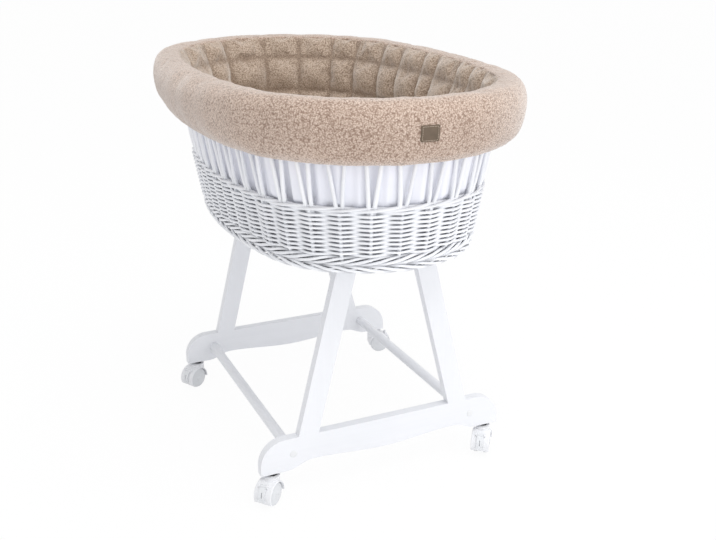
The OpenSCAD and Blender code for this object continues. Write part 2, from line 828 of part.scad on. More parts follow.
// crowned pad with drawn-in sides on the base board
module mattress() {
    columns = 64;
    low = base_top + soft_gap;
    edge = wall(low) - pad_in - pad_seam_t - pad_swell - mattress_gap;
    reach = end_r + edge - 10;
    crown = mattress_crown;
    levels = concat(
        [for (k = [0:4]) let (a = -90 + 45 * k)
            [mattress_draw * (1 - cos(a)), mattress_t * (1 + sin(a)) / 2]],
        [for (k = [1:4]) let (f = k / 4)
            [mattress_draw + f * (reach - mattress_draw), mattress_t + crown * sin(90 * f)]]);
    color("ivory")
        stack_loft(
            [for (l = levels) [for (i = [0:columns - 1])
                let (p = oval(i / columns, edge - l[0])) [p[0], p[1], low + l[1]]]],
            [0, 0, low], [0, 0, low + mattress_t + crown]);
}

front_rail();
rear_rail();
front_left_leg();
front_right_leg();
rear_left_leg();
rear_right_leg();
front_bearer();
rear_bearer();
left_stretcher();
right_stretcher();
stretcher_screws();
screw_caps();
leg_dowels();
caster_sockets();
caster_stems();
front_left_hood();
front_left_axle();
front_left_inner_wheel();
front_left_outer_wheel();
front_left_pedal();
front_right_hood();
front_right_axle();
front_right_inner_wheel();
front_right_outer_wheel();
front_right_pedal();
rear_left_hood();
rear_left_axle();
rear_left_inner_wheel();
rear_left_outer_wheel();
rear_left_pedal();
rear_right_hood();
rear_right_axle();
rear_right_inner_wheel();
rear_right_outer_wheel();
rear_right_pedal();
base_board();
foot_border();
lower_wale();
side_weave();
upper_wale();
stakes();
upper_rods();
rim();
lining();
quilted_pad();
bumper();
mattress();
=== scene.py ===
import math

import bmesh
import bpy
import numpy as np
from mathutils import Euler, Matrix, Vector, noise
from mathutils.bvhtree import BVHTree


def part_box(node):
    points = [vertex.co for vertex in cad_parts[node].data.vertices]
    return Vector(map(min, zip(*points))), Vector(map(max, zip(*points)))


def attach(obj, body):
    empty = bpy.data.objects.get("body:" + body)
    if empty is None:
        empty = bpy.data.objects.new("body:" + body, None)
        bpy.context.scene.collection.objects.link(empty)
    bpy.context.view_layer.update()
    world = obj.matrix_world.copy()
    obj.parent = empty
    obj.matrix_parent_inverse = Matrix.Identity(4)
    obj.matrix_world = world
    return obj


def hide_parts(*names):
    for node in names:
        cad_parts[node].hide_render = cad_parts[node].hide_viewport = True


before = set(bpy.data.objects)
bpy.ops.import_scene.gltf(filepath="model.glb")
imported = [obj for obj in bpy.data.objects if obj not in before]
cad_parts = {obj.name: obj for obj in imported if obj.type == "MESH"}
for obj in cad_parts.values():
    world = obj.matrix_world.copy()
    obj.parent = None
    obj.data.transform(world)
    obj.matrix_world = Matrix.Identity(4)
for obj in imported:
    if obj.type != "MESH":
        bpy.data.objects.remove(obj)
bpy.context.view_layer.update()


# Trestle boards: two foot rails, four leaning legs and two bearers, sawn from pine board,
# doweled flush and sprayed with satin white paint. Their edges are broken with sandpaper,
# so every joint shows as a fine line.
class Wire:
    """A socket of a node tree. Sums and products of wires add the tree's Math nodes."""

    def __init__(self, tree, socket=None):
        self.tree, self.socket = tree, socket

    def node(self, kind, inputs=(), out=0, stops=(), **settings):
        """Adds a node with its settings, then its sockets' values or links. Returns one output."""
        made = self.tree.nodes.new(kind)
        for key, value in settings.items():
            setattr(made, key, value)
        for i, (position, colour) in enumerate(stops):
            ramp = made.color_ramp.elements
            stop = ramp[i] if i < 2 else ramp.new(position)
            stop.position, stop.color = position, colour
        for key, value in dict(inputs).items():
            if isinstance(value, Wire):
                self.tree.links.new(value.socket, made.inputs[key])
            else:
                made.inputs[key].default_value = value
        return Wire(self.tree, made.outputs[out])

    def maths(self, operation, a, b=0.0):
        """A Math node of two values or wires."""
        return self.node("ShaderNodeMath", {0: a, 1: b}, operation=operation)

    def mix(self, share, a, b):
        """A blend of colour a into colour b by a share."""
        return self.node("ShaderNodeMix", {0: share, 6: a, 7: b}, out=2, data_type="RGBA")

    def to(self, shader, socket):
        """Links the wire into a socket of a shader or other node."""
        self.tree.links.new(self.socket, shader.inputs[socket])

    def __add__(self, other):
        return self.maths("ADD", self, other)

    def __sub__(self, other):
        return self.maths("SUBTRACT", self, other)

    def __rsub__(self, other):
        return self.maths("SUBTRACT", other, self)

    def __mul__(self, other):
        return self.maths("MULTIPLY", self, other)

    __radd__, __rmul__ = __add__, __mul__


def tone(*levels):
    """A colour as a screen shows it, 0 to 255, as a shader takes it."""
    shares = [level / 255 for level in levels]
    return tuple(s / 12.92 if s < 0.04 else ((s + 0.055) / 1.055) ** 2.4 for s in shares) + (1.0,)


def new_finish(name, constants):
    """A material, a wire into its tree, and its shader with the constant sockets set."""
    material = bpy.data.materials.new(name)
    material.use_nodes = True
    shader = material.node_tree.nodes["Principled BSDF"]
    for socket, value in constants.items():
        shader.inputs[socket].default_value = value
    return material, Wire(material.node_tree), shader


def white_paint(name, along):
    """Satin paint over wood fibres that run along one axis, with the faint peel of a spray gun."""
    paint, tree, shader = new_finish(name, {"Specular IOR Level": 0.4})
    place = tree.node("ShaderNodeTexCoord", out="Object")
    across_fibres, along_fibres = 38.0, 1.6
    stretch = [across_fibres] * 3
    stretch["xyz".index(along)] = along_fibres
    turned = tree.node("ShaderNodeMapping", {"Vector": place, "Scale": stretch})
    fibres = tree.node("ShaderNodeTexNoise", {"Vector": turned, "Scale": 5.0, "Detail": 4.0})
    cloud = tree.node("ShaderNodeTexNoise", {"Vector": place, "Scale": 6.0, "Detail": 2.0})
    peel = tree.node("ShaderNodeTexNoise", {"Vector": place, "Scale": 520.0, "Detail": 1.0})
    coat = tree.mix(cloud * 0.6 + fibres * 0.4, tone(224, 226, 230), tone(237, 238, 242))
    coat.to(shader, "Base Color")
    (fibres * 0.2 + 0.34).to(shader, "Roughness")
    tree.node("ShaderNodeBump", {"Strength": 0.3, "Distance": 0.0004,
                                 "Height": fibres * 0.7 + peel * 0.3}).to(shader, "Normal")
    return paint


def copy_of(node):
    """A CAD node's triangles, merged and flat where they were flat, as a new mesh."""
    shape = bmesh.new()
    shape.from_mesh(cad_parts[node].data)
    bmesh.ops.remove_doubles(shape, verts=shape.verts, dist=1e-5)
    bmesh.ops.dissolve_limit(shape, angle_limit=math.radians(1), verts=shape.verts, edges=shape.edges)
    shape.verts.index_update()
    mesh = bpy.data.meshes.new(node)
    faces = [[v.index for v in f.verts] for f in shape.faces]
    mesh.from_pydata([v.co[:] for v in shape.verts], [], faces)
    shape.free()
    return mesh


def put(name, mesh, material, body, slot, *nodes, sharp=32):
    """Makes a mesh the piece that rides on a body and stands for CAD nodes."""
    piece = bpy.data.objects.new(name, mesh)
    bpy.context.scene.collection.objects.link(piece)
    mesh.materials.clear()
    mesh.materials.append(material)
    mesh.shade_smooth()
    mesh.set_sharp_from_angle(angle=math.radians(sharp))
    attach(piece, body)
    if nodes:
        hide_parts(*nodes)
    return piece


def broken_edges(piece, width):
    """Rounds the sharp edges of a piece over a width."""
    edge = piece.modifiers.new("broken edges", "BEVEL")
    edge.width, edge.segments, edge.limit_method = width, 2, "ANGLE"
    edge.angle_limit = math.radians(40)


def sloped_ends(mesh, start, slope):
    """Cuts the ends of a bearer's lower edge upwards, so that they stay behind the basket's foot."""
    shape = bmesh.new()
    shape.from_mesh(mesh)
    low = min(v.co.z for v in shape.verts)
    for x in (-start, start):
        bmesh.ops.bisect_plane(shape, geom=shape.verts[:] + shape.edges[:] + shape.faces[:],
                               plane_co=(x, 0, 0), plane_no=(1, 0, 0))
    for v in shape.verts:
        v.co.z = max(v.co.z, low + (abs(v.co.x) - start) * slope)
    shape.to_mesh(mesh)
    shape.free()


BEARER_LEVEL, BEARER_SLOPE, SANDED = 0.104, 0.42, 0.0018
paint_across = white_paint("white paint along the rails", "x")
paint_up = white_paint("white paint along the legs", "z")
for node in ("front_rail", "rear_rail", "front_bearer", "rear_bearer",
             "front_left_leg", "front_right_leg", "rear_left_leg", "rear_right_leg"):
    finish = paint_up if node.endswith("leg") else paint_across
    mesh = copy_of(node)
    if node.endswith("bearer"):
        sloped_ends(mesh, BEARER_LEVEL, BEARER_SLOPE)
    broken_edges(put(node + "_board", mesh, finish, "stand", "white_paint", node), SANDED)


# Stretchers: two turned pine rods let into the rails, painted with the boards, each drawn
# tight by a zinc-plated screw under a snap-on plastic cap. Beech dowels hold the legs.
paint_long = white_paint("white paint along the stretchers", "y")
for node in ("left_stretcher", "right_stretcher"):
    put(node + "_rod", copy_of(node), paint_long, "stand", "white_paint", node)


def moulded_white(name, light):
    """Moulded white plastic with a fine grain, no lighter than the colour given."""
    plastic, tree, shader = new_finish(name, {"Specular IOR Level": 0.5, "Subsurface Weight": 0.04,
                                              "Subsurface Radius": (0.004, 0.004, 0.004)})
    place = tree.node("ShaderNodeTexCoord", out="Object")
    cloud = tree.node("ShaderNodeTexNoise", {"Vector": place, "Scale": 30.0, "Detail": 3.0})
    grain = tree.node("ShaderNodeTexNoise", {"Vector": place, "Scale": 1400.0, "Detail": 1.0})
    dark = [level - 9 for level in light]
    tree.mix(cloud, tone(*dark), tone(*light)).to(shader, "Base Color")
    (cloud * 0.16 + 0.26).to(shader, "Roughness")
    tree.node("ShaderNodeBump", {"Strength": 0.12, "Distance": 0.0002, "Height": grain}).to(shader, "Normal")
    return plastic


def bare_metal(name, dark, light, rough):
    """Metal with a clouded surface, no smoother than the roughness given."""
    metal, tree, shader = new_finish(name, {"Metallic": 1.0})
    place = tree.node("ShaderNodeTexCoord", out="Object")
    cloud = tree.node("ShaderNodeTexNoise", {"Vector": place, "Scale": 140.0, "Detail": 4.0})
    tree.mix(cloud, tone(*dark), tone(*light)).to(shader, "Base Color")
    (cloud * 0.25 + rough).to(shader, "Roughness")
    return metal


CAP_EDGE = 0.0006
cap_plastic = moulded_white("cap plastic", (231, 232, 234))
caps = put("screw_caps_domes", copy_of("screw_caps"), cap_plastic, "stand", "white_plastic", "screw_caps")
broken_edges(caps, CAP_EDGE)
zinc = bare_metal("zinc plating", (150, 152, 156), (205, 206, 209), 0.28)
beech, tree, shader = new_finish("bare beech", {"Roughness": 0.7})
place = tree.node("ShaderNodeTexCoord", out="Object")
pores = tree.node("ShaderNodeTexNoise", {"Vector": place, "Scale": 160.0, "Detail": 4.0})
tree.mix(pores, tone(188, 150, 108), tone(214, 180, 138)).to(shader, "Base Color")
for node, finish in (("stretcher_screws", zinc), ("leg_dowels", beech)):
    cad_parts[node].material_slots[0].material = finish


# Casters: a white nylon hood with a guard over two wheels, on a dark steel stem pressed into a
# socket in the rail. A pedal of the same nylon hinges on the guard and is pressed to brake.
hood_plastic = moulded_white("hood nylon", (238, 239, 242))
pedal_plastic = moulded_white("pedal nylon", (231, 233, 236))
wheel_plastic = moulded_white("wheel nylon", (223, 225, 228))
dark_steel = bare_metal("blackened steel", (38, 38, 41), (74, 74, 78), 0.36)
HALF_WHEEL, GUARD_EDGE, PEDAL_EDGE = 0.006, 0.0005, 0.0004
# Radius and place along the axle in millimetres: hub cover, outer face, tread, inner face, bore.
WHEEL = [(0, 12.0), (4.7, 11.9), (5.4, 11.6), (5.6, 11.1), (6.3, 10.9), (15.8, 10.1), (16.3, 9.7),
         (16.8, 9.7), (17.3, 10.0), (19.3, 9.8), (21.1, 9.0), (22.1, 7.7), (22.5, 6.2), (22.5, 1.6),
         (22.1, 0.6), (21.1, 0.1), (17.1, 0.1), (16.4, 0.7), (8.1, 0.7), (7.4, 0.1), (2.6, 0.1),
         (2.6, 9.3), (0, 9.3)]


def turned(name, profile, middle, axle, sides=80):
    """A closed profile of radius and place along the axle, in millimetres, turned round it."""
    up = Vector((0, 0, 1))
    across = axle.cross(up)
    angles = [2 * math.pi * k / sides for k in range(sides)]
    spokes = [up * math.cos(a) + across * math.sin(a) for a in angles]
    shape = bmesh.new()
    rings = []
    for r, w in profile:
        hub = middle + axle * w / 1000
        rings.append([shape.verts.new(hub + spoke * r / 1000) for spoke in (spokes if r else spokes[:1])])
    for one, two in zip(rings, rings[1:]):
        for k in range(sides):
            n = k + 1
            corners = [one[k % len(one)], one[n % len(one)], two[n % len(two)], two[k % len(two)]]
            shape.faces.new(list(dict.fromkeys(corners)))
    bmesh.ops.recalc_face_normals(shape, faces=shape.faces)
    mesh = bpy.data.meshes.new(name)
    shape.to_mesh(mesh)
    shape.free()
    return mesh


for node in ("caster_sockets", "caster_stems"):
    put(node + "_steel", copy_of(node), dark_steel, "stand", "dark_steel", node)
for corner in ("front_left", "front_right", "rear_left", "rear_right"):
    hood = put(corner + "_guard", copy_of(corner + "_hood"), hood_plastic, corner + "_caster",
               "white_plastic", corner + "_hood")
    broken_edges(hood, GUARD_EDGE)
    pedal = put(corner + "_brake_pedal", copy_of(corner + "_pedal"), pedal_plastic, corner + "_brake",
                "white_plastic", corner + "_pedal")
    broken_edges(pedal, PEDAL_EDGE)
    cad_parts[corner + "_axle"].material_slots[0].material = zinc
    middles = [sum(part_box(f"{corner}_{side}_wheel"), Vector()) / 2 for side in ("inner", "outer")]
    for side, here, there in (("inner", *middles), ("outer", *middles[::-1])):
        axle = (here - there).normalized()
        mesh = turned(f"{corner}_{side}", WHEEL, here - axle * HALF_WHEEL, axle)
        put(f"{corner}_{side}_tyre", mesh, wheel_plastic, f"{corner}_{side}_roller", "white_plastic",
            f"{corner}_{side}_wheel", sharp=24)


# Base board: thin plywood cut to the basket's oval, painted white like the stand and
# drilled near its edge for the stakes. The rods above and below it close over its edge.
BOARD_DRAWN_IN = (0.970, 0.982, 1, 1)
board_low, board_top = (corner.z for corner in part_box("base_board"))
mesh = copy_of("base_board")
mesh.transform(Matrix.Diagonal(BOARD_DRAWN_IN))
put("base_board_ply", mesh, paint_across, "basket", "white_paint", "base_board")


# Wicker wall: peeled willow, painted white. Stakes stand in the base board. A foot border,
# a lower wale, twenty woven rows and an upper wale go round them, and a pair of rods at
# each stake opens like a V up to the rim.
SIDE_BOW, END_R, END_Y, HEAD_RISE = 0.018, 0.204, 0.166, 0.011
SIDE_X = (END_Y ** 2 - SIDE_BOW ** 2) / (2 * SIDE_BOW)
SIDE_R = END_R + SIDE_BOW + SIDE_X
SIDE_TURN = math.atan(END_Y / SIDE_X)
LEAN = math.tan(math.radians(10))
STAKES, ROWS = 40, 20
ROD_DEPTH, ROW_DEPTH = 0.007, 0.0072
HEM_DROP = 0.080
foot_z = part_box("foot_border")[0].z
weave_z, weave_top = (corner.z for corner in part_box("side_weave"))
band_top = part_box("upper_wale")[1].z
rim_z = sum(corner.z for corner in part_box("rim")) / 2
hem_z = rim_z - HEM_DROP


def turn_at(u):
    """Direction of the oval's normal at shares u of the way round from +X."""
    quarter, share = np.divmod(4 * (np.asarray(u, float) % 1), 1)
    side, end = SIDE_TURN * SIDE_R, (math.pi / 2 - SIDE_TURN) * END_R
    reach = np.where(quarter % 2 == 0, share, 1 - share) * (side + end)
    turn = np.where(reach < side, reach / SIDE_R, SIDE_TURN + (reach - side) / END_R)
    return np.choose(quarter.astype(int), [turn, math.pi - turn, math.pi + turn, -turn])


def at(u, d, z):
    """Points of the basket at offsets d from the foot's oval, with the rise to the head end."""
    u, d, z = np.broadcast_arrays(u, d, z)
    c, s = np.cos(turn_at(u)), np.sin(turn_at(u))
    side = np.abs(s) < math.sin(SIDE_TURN)
    x = np.where(side, -np.sign(c) * SIDE_X + (SIDE_R + d) * c, (END_R + d) * c)
    y = np.where(side, (SIDE_R + d) * s, np.sign(s) * END_Y + (END_R + d) * s)
    rise = HEAD_RISE * np.clip((z - band_top) / (hem_z - band_top), 0, 1) * y / (END_R + END_Y)
    return np.stack([x, y, z + rise], -1)


def wall(z):
    """Offset of the wall's outer face from the foot's oval at a height."""
    return (z - foot_z) * LEAN


def path_of(name, lines, closed, **attributes):
    """An object of edges along lines of points, with values stored at the points."""
    count, steps = lines.shape[:2]
    edges = [(i * steps + k, i * steps + (k + 1) % steps)
             for i in range(count) for k in range(steps if closed else steps - 1)]
    mesh = bpy.data.meshes.new(name)
    mesh.from_pydata(lines.reshape(-1, 3).tolist(), edges, [])
    for key, values in attributes.items():
        flat = np.asarray(values, np.float32)
        kind, field = ("FLOAT_VECTOR", "vector") if flat.ndim == 3 else ("FLOAT", "value")
        mesh.attributes.new(key, kind, "POINT").data.foreach_set(field, flat.ravel())
    path = bpy.data.objects.new(name, mesh)
    bpy.context.scene.collection.objects.link(path)
    return path


def new_tree(name, **kinds):
    """A Geometry Nodes tree with named inputs, and a wire from each of them."""
    tree = bpy.data.node_groups.new(name, "GeometryNodeTree")
    tree.interface.new_socket("Result", in_out="OUTPUT", socket_type="NodeSocketGeometry")
    for label, kind in {"Path": "Geometry", **kinds}.items():
        tree.interface.new_socket(label, in_out="INPUT", socket_type="NodeSocket" + kind)
    entry = tree.nodes.new("NodeGroupInput")
    return tree, {socket.name: Wire(tree, socket) for socket in entry.outputs if socket.name}


def end_tree(wire, finish):
    """Smooth, real geometry with its finish as the tree's result."""
    whole = wire.node("GeometryNodeRealizeInstances", {0: wire})
    smooth = wire.node("GeometryNodeSetShadeSmooth", {"Geometry": whole})
    dressed = wire.node("GeometryNodeSetMaterial", {"Geometry": smooth, "Material": finish})
    dressed.to(wire.tree.nodes.new("NodeGroupOutput"), 0)


def plain_mesh(thing):
    """The mesh that an object's modifiers make. The object is used up."""
    graph = bpy.context.evaluated_depsgraph_get()
    mesh = bpy.data.meshes.new_from_object(thing.evaluated_get(graph), preserve_all_data_layers=True,
                                           depsgraph=graph)
    bpy.data.objects.remove(thing)
    return mesh


def grown(path, tree, **sizes):
    """The plain mesh that a tree makes of a path."""
    grow = path.modifiers.new("grow", "NODES")
    grow.node_group = tree
    for item in tree.interface.items_tree:
        if item.in_out == "INPUT" and item.name in sizes:
            grow[item.identifier] = sizes[item.name]
    return plain_mesh(path)


willow, tree, shader = new_finish("painted willow", {"Specular IOR Level": 0.4})
place = tree.node("ShaderNodeTexCoord", out="Object")
rod = tree.node("ShaderNodeAttribute", out="Fac", attribute_name="rod")
along = tree.node("ShaderNodeAttribute", out="Fac", attribute_name="along")
lot = tree.node("ShaderNodeTexWhiteNoise", {"W": rod}, noise_dimensions="1D")
run = tree.node("ShaderNodeCombineXYZ", {"X": along * 60.0, "Y": rod * 5.3})
length = tree.node("ShaderNodeTexNoise", {"Vector": run, "Scale": 1.0, "Detail": 3.0})
bark = tree.node("ShaderNodeTexNoise", {"Vector": place, "Scale": 420.0, "Detail": 3.0})
shade = lot * 0.45 + length * 0.35 + bark * 0.2
# Painted shade: where a rod runs back behind a stake, its colour is darkened to grey in place of the shadow
# there.
painted_shade = tree.node("ShaderNodeAttribute", out="Fac", attribute_name="behind")
coat = tree.mix(shade, tone(232, 234, 239), tone(249, 250, 253))
tree.mix(painted_shade, coat, tone(152, 153, 158)).to(shader, "Base Color")
(length * 0.3 + 0.3).to(shader, "Roughness")
tree.node("ShaderNodeBump", {"Strength": 0.35, "Distance": 0.0006,
                             "Height": bark * 0.6 + length * 0.4}).to(shader, "Normal")

# Rods that swing in and out between the stakes, rise and fall by Lift, and are stacked by Pitch.
# Where a rod lies further back than Shade, its colour takes painted shade, stronger in the lower rows.
weave_tree, size = new_tree("rods round the stakes", Rods="Int", Turns="Float", Shift="Float",
                            Start="Float", Pitch="Float", Bow="Float", Lift="Float", Thickness="Float",
                            Wobble="Float", Shade="Float", Seed="Float", Finish="Material")
path = size["Path"]
curve = path.node("GeometryNodeMeshToCurve", {"Mesh": path})
lines = path.node("GeometryNodeDuplicateElements", {"Geometry": curve, "Amount": size["Rods"]},
                  domain="SPLINE")
row = Wire(weave_tree, lines.socket.node.outputs["Duplicate Index"])
upper = row.maths("DIVIDE", row, size["Rods"])
share = path.node("GeometryNodeInputNamedAttribute", {"Name": "along"}, data_type="FLOAT")
outward = path.node("GeometryNodeInputNamedAttribute", {"Name": "outward"}, data_type="FLOAT_VECTOR")
phase = share * size["Turns"] * (2 * math.pi) + row * size["Shift"] + size["Start"]
here = path.node("GeometryNodeInputPosition")
drift = path.node("ShaderNodeTexNoise", {"Vector": here, "W": row * 3.7 + size["Seed"], "Scale": 24.0,
                                         "Detail": 1.0}, noise_dimensions="4D")
swell = path.node("ShaderNodeTexNoise", {"Vector": here, "W": row * 5.9 + size["Seed"] + 40.0,
                                         "Scale": 9.0}, noise_dimensions="4D")
swing = phase.maths("ARCSINE", phase.maths("COSINE", phase) * 0.96) * 0.78
aside = row * size["Pitch"] * LEAN + swing * size["Bow"]
wave = phase.maths("SINE", phase) * size["Lift"]
upward = row * size["Pitch"] + wave + (drift - 0.5) * size["Wobble"]
push = path.node("ShaderNodeVectorMath", {0: outward, "Scale": aside}, operation="SCALE")
raised = path.node("ShaderNodeVectorMath", {0: push, 1: path.node("ShaderNodeCombineXYZ", {"Z": upward})})
bent = path.node("GeometryNodeSetPosition", {"Geometry": lines, "Offset": raised})
named = path.node("GeometryNodeStoreNamedAttribute", {
    "Geometry": bent, "Name": "rod", "Value": row + size["Seed"]}, data_type="FLOAT", domain="POINT")
# Painted shade: how far a rod lies back past Shade, less in the upper rows, stored as behind to darken its
# colour.
depth = path.maths("MAXIMUM", size["Shade"] - swing, 0.0) * (1.0 - upper * 0.35)
named = path.node("GeometryNodeStoreNamedAttribute", {
    "Geometry": named, "Name": "behind", "Value": depth}, data_type="FLOAT", domain="POINT")
round_rod = path.node("GeometryNodeCurvePrimitiveCircle", {"Resolution": 7, "Radius": 1.0})
tube = path.node("GeometryNodeCurveToMesh", {
    "Curve": named, "Profile Curve": round_rod,
    "Scale": size["Thickness"] * (swell * 0.5 + 0.75) * (upper * 0.16 + 0.92)})
end_tree(tube, size["Finish"])


def wound(name, node, z, depth, steps, **sizes):
    """Rods that wind or weave round the oval at a height and a depth in the wall, for a node."""
    u = np.arange(steps) / steps
    turn = turn_at(u)
    outward = np.stack([np.cos(turn), np.sin(turn), np.zeros(steps)], -1)
    path = path_of(name, at(u, wall(z) - depth, z)[None], True, along=u[None], outward=outward[None])
    mesh = grown(path, weave_tree, Finish=willow, **sizes)
    put(name, mesh, willow, "basket", "white_wicker", node, sharp=80)


pitch = (weave_top - weave_z) / ROWS
wound("woven_rows", "side_weave", weave_z + pitch / 2, ROW_DEPTH, 12 * STAKES, Rods=ROWS,
      Turns=STAKES / 2, Shift=math.pi, Start=-math.pi / 2, Pitch=pitch, Bow=0.0068, Lift=0.0,
      Thickness=0.0024, Wobble=0.0010, Shade=0.0, Seed=1.0)
# The foot border and the lower wale meet over the base board's edge and slant opposite ways.
WALE_ROD = 0.0027
board_mid = (board_low + board_top) / 2
# The last number of each is Shade, the depth past which a rod's colour takes painted shade.
for name, node, low, high, rods, twist, shade in (
        ("foot_border_rods", "foot_border", foot_z, board_mid, 4, -1, 0.5),
        ("lower_wale_rods", "lower_wale", board_mid, weave_z, 5, 1, 0.5),
        ("upper_wale_rods", "upper_wale", weave_top, band_top, 3, 1, -0.6)):
    lift = twist * ((high - low) / 2 - WALE_ROD * 0.8)
    wound(name, node, (low + high) / 2, ROD_DEPTH, 10 * STAKES, Rods=rods, Turns=13,
          Shift=2 * math.pi / rods, Start=0.0, Pitch=0.0, Bow=0.0052, Lift=lift, Thickness=WALE_ROD,
          Wobble=0.0012, Shade=shade, Seed=30.0 + rods)

# Rods along given lines, thinner towards their tips by Taper.
rod_tree, size = new_tree("upright rods", Thickness="Float", Taper="Float", Wobble="Float",
                          Finish="Material")
path = size["Path"]
curve = path.node("GeometryNodeMeshToCurve", {"Mesh": path})
share = path.node("GeometryNodeInputNamedAttribute", {"Name": "along"}, data_type="FLOAT")
which = path.node("GeometryNodeInputNamedAttribute", {"Name": "rod"}, data_type="FLOAT")
here = path.node("GeometryNodeInputPosition")
drift = path.node("ShaderNodeTexNoise", {"Vector": here, "W": which * 2.3, "Scale": 11.0}, out="Color",
                  noise_dimensions="4D")
sway = path.node("ShaderNodeVectorMath", {0: drift, 1: (0.5, 0.5, 0.5)}, operation="SUBTRACT")
sway = path.node("ShaderNodeVectorMath", {0: sway, "Scale": size["Wobble"]}, operation="SCALE")
bent = path.node("GeometryNodeSetPosition", {"Geometry": curve, "Offset": sway})
lot = path.node("ShaderNodeTexWhiteNoise", {"W": which}, noise_dimensions="1D")
round_rod = path.node("GeometryNodeCurvePrimitiveCircle", {"Resolution": 10, "Radius": 1.0})
tube = path.node("GeometryNodeCurveToMesh", {
    "Curve": bent, "Profile Curve": round_rod, "Fill Caps": True,
    "Scale": size["Thickness"] * (1.0 - share * size["Taper"]) * (lot * 0.2 + 0.9)})
end_tree(tube, size["Finish"])


def upright(name, node, lines, first, **sizes):
    """Rods along lines of points, numbered from first on, in the place of a node."""
    count, steps = lines.shape[:2]
    along = np.tile(np.linspace(0, 1, steps), (count, 1))
    numbers = np.repeat(first + np.arange(count), steps).reshape(count, steps)
    path = path_of(name, lines, False, along=along, rod=numbers)
    mesh = grown(path, rod_tree, Finish=willow, **sizes)
    put(name, mesh, willow, "basket", "white_wicker", node, sharp=50)


# The stakes stand behind the wale and come forward between the woven rows.
STAKE_STEPS = 19
middle = (np.arange(STAKES) + 0.5) / STAKES
z = foot_z + 0.004 + np.linspace(0, 1, STAKE_STEPS) * (weave_top - foot_z)
inward = np.interp(z, [weave_z - 0.006, weave_z + 0.004], [0.0110, 0.0056])
upright("willow_stakes", "stakes", at(middle[:, None], wall(z) - inward, z[None]), 60,
        Thickness=0.0034, Taper=0.1, Wobble=0.0008)

# The rods of a pair start side by side behind the upper wale, come forward out of it and open
# towards the rim, each with its own lean and bend.
HALF_GAP, OPENING, BEND = 0.0042, 0.37 / STAKES, 0.0024
TUCKED_IN, ROD_STEPS = 0.014, 13
random = np.random.default_rng(7)
low = band_top - TUCKED_IN
share = np.linspace(0, 1, ROD_STEPS)[:, None]
bow = np.sin(np.pi * share)
sunk = np.interp(low + share * (rim_z - low), [low, band_top + 0.010], [0.0038, -0.0010])
lines = []
for u in middle:
    outward = np.array([np.cos(turn_at(u)), np.sin(turn_at(u)), 0])
    across = np.array([-outward[1], outward[0], 0])
    for s in (-1, 1):
        open_by = OPENING * (1 + 0.18 * random.uniform(-1, 1))
        lean = random.uniform(-0.1, 0.1) / STAKES
        start = at(u, wall(low) - ROD_DEPTH, low) + s * HALF_GAP * across
        tip = at(u + s * open_by + lean, wall(rim_z) - ROD_DEPTH, rim_z)
        drawn_in = bow * across * s * BEND * random.uniform(-0.4, 1.2)
        lines.append(start + share * (tip - start) - drawn_in - sunk * outward)
upright("opened_rods", "upper_rods", np.array(lines), 100, Thickness=0.0039, Taper=0.22, Wobble=0.003)
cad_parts["rim"].material_slots[0].material = willow


# Lining: plain white cotton, cut longer than the wall is round and gathered on tape at the
# rim and at the base board, so it falls in loose upright folds behind the rods.
def ring_mesh(name, grid, closed=True):
    """A mesh from sections round the basket, each a line of points, closed or open."""
    count, steps = grid.shape[:2]
    faces = []
    for i in range(count):
        j = (i + 1) % count
        for k in range(steps if closed else steps - 1):
            n = (k + 1) % steps
            faces.append((i * steps + k, j * steps + k, j * steps + n, i * steps + n))
    mesh = bpy.data.meshes.new(name)
    mesh.from_pydata(grid.reshape(-1, 3).tolist(), [], faces)
    return mesh


def waves(u, seed, first, last, size):
    """A smooth irregular wave round the basket, made of turns first to last."""
    random = np.random.default_rng(seed)
    total = np.zeros_like(u)
    for turns in range(first, last + 1):
        total += random.normal() * np.cos(2 * math.pi * (turns * u + random.uniform()))
    return size * total / math.sqrt((last - first + 1) / 2)


cotton, tree, shader = new_finish("white cotton", {"Roughness": 0.9, "Sheen Weight": 0.15,
                                                   "Sheen Roughness": 0.5})
place = tree.node("ShaderNodeTexCoord", out="Object")
cloud = tree.node("ShaderNodeTexNoise", {"Vector": place, "Scale": 14.0, "Detail": 3.0})
warp = tree.node("ShaderNodeMapping", {"Vector": place, "Scale": (1.0, 1.0, 0.35)})
threads = tree.node("ShaderNodeTexNoise", {"Vector": warp, "Scale": 1500.0, "Detail": 2.0})
cloth = tree.mix(cloud * 0.6 + threads * 0.4, tone(233, 235, 245), tone(247, 248, 254))
cloth.to(shader, "Base Color")
tree.node("ShaderNodeBump", {"Strength": 0.25, "Distance": 0.0004, "Height": threads}).to(shader, "Normal")

# Folds run all the way up. Over the band the cloth is free, and bulges forward between the stakes.
HANG, DEEPEST, FOLD, BULGE = 0.0156, 0.0204, 0.0026, 0.0044
COLUMNS, LEVELS = 864, 60
u = np.arange(COLUMNS) / COLUMNS
z = np.linspace(board_top + 0.0006, rim_z, LEVELS)
share = (z - z[0]) / (z[-1] - z[0])
folds = waves(u, 11, 44, 60, 1.0)[:, None] * (1 - share) + waves(u, 12, 46, 66, 1.0)[:, None] * share
free = np.clip((z - band_top + 0.004) / 0.012, 0, 1) * (1 - share ** 6)
loose = free * (0.5 + waves(u, 13, 26, 46, 0.6) + np.cos(2 * math.pi * STAKES * u))[:, None]
fine = free * waves(u, 14, 90, 150, 0.0008)[:, None]
least = np.interp(z, [band_top - 0.002, band_top + 0.006], [0.0150, 0.0085])
depth = np.clip(HANG + FOLD * folds - BULGE * loose + fine, least, DEEPEST)
mesh = ring_mesh("lining", at(u[:, None], wall(z) - depth, z[None]), closed=False)
lining = put("gathered_lining", mesh, cotton, "basket", "white_cotton", "lining", sharp=180)


